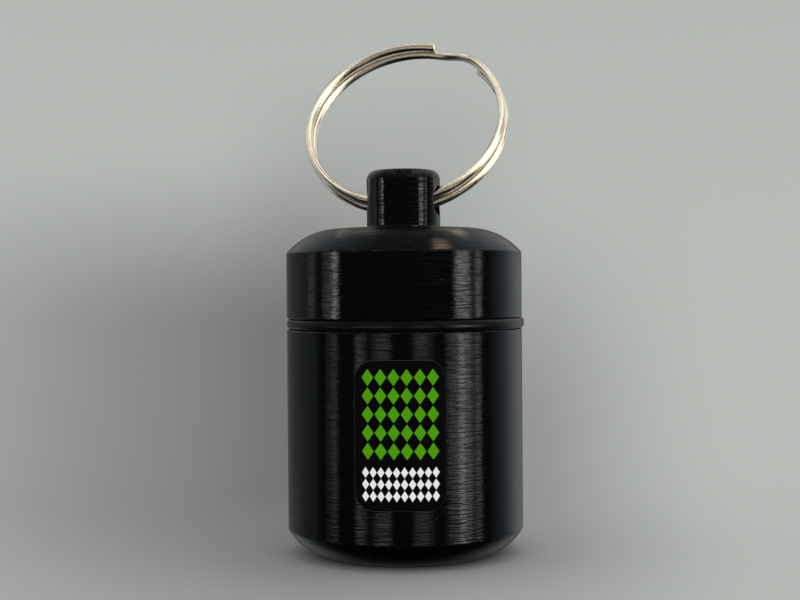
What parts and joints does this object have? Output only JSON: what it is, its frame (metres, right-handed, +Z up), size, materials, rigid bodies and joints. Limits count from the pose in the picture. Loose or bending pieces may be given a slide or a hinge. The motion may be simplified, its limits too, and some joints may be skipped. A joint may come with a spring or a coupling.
{
  "type": "earplug keychain case",
  "caption": "Turned aluminium screw-top case for earplugs, with a rubber seal, a cross-drilled lug and a split ring for a key chain.",
  "frame": {"origin": "centre of the flat base that the case stands on", "axes": "+Z up along the case's axis, from the base to the lug; -Y is the side that carries the label"},
  "size_m": [0.0282, 0.0282, 0.0622],
  "materials": {
    "anodised_body": "black anodised, with fine lathe lines round the cup",
    "anodised_cap": "black anodised, with fine lathe lines round the cap and lug",
    "seal_rubber": "satin black nitrile",
    "ring_steel": "nickel-plated spring steel, warm and bright with fine scratches",
    "label_vinyl": "printed satin vinyl"
  },
  "bodies": {
    "case": {"case_body": "anodised_body", "label": "label_vinyl"},
    "seal": {"o_ring": "seal_rubber"},
    "cap": {"cap": "anodised_cap"},
    "ring": {"split_ring": "ring_steel"}
  },
  "joints": [
    {"name": "cap_turn", "type": "hinge", "parent": "case", "child": "seal", "pos_m": [0, 0, 0.0277], "axis": [0, 0, 1], "range_deg": [0, 1530]},
    {"name": "cap_rise", "type": "slide", "parent": "seal", "child": "cap", "axis": [0, 0, 1], "range_m": [0, 0.00638]},
    {"name": "ring_swing", "type": "hinge", "parent": "cap", "child": "ring", "pos_m": [0, 0, 0.0415], "axis": [0.9711, -0.2385, 0], "range_deg": [-85, 148]}
  ],
  "couplings": [
    {"joint": "cap_rise", "follows": "cap_turn", "m_per_rad": 0.00023873}
  ]
}
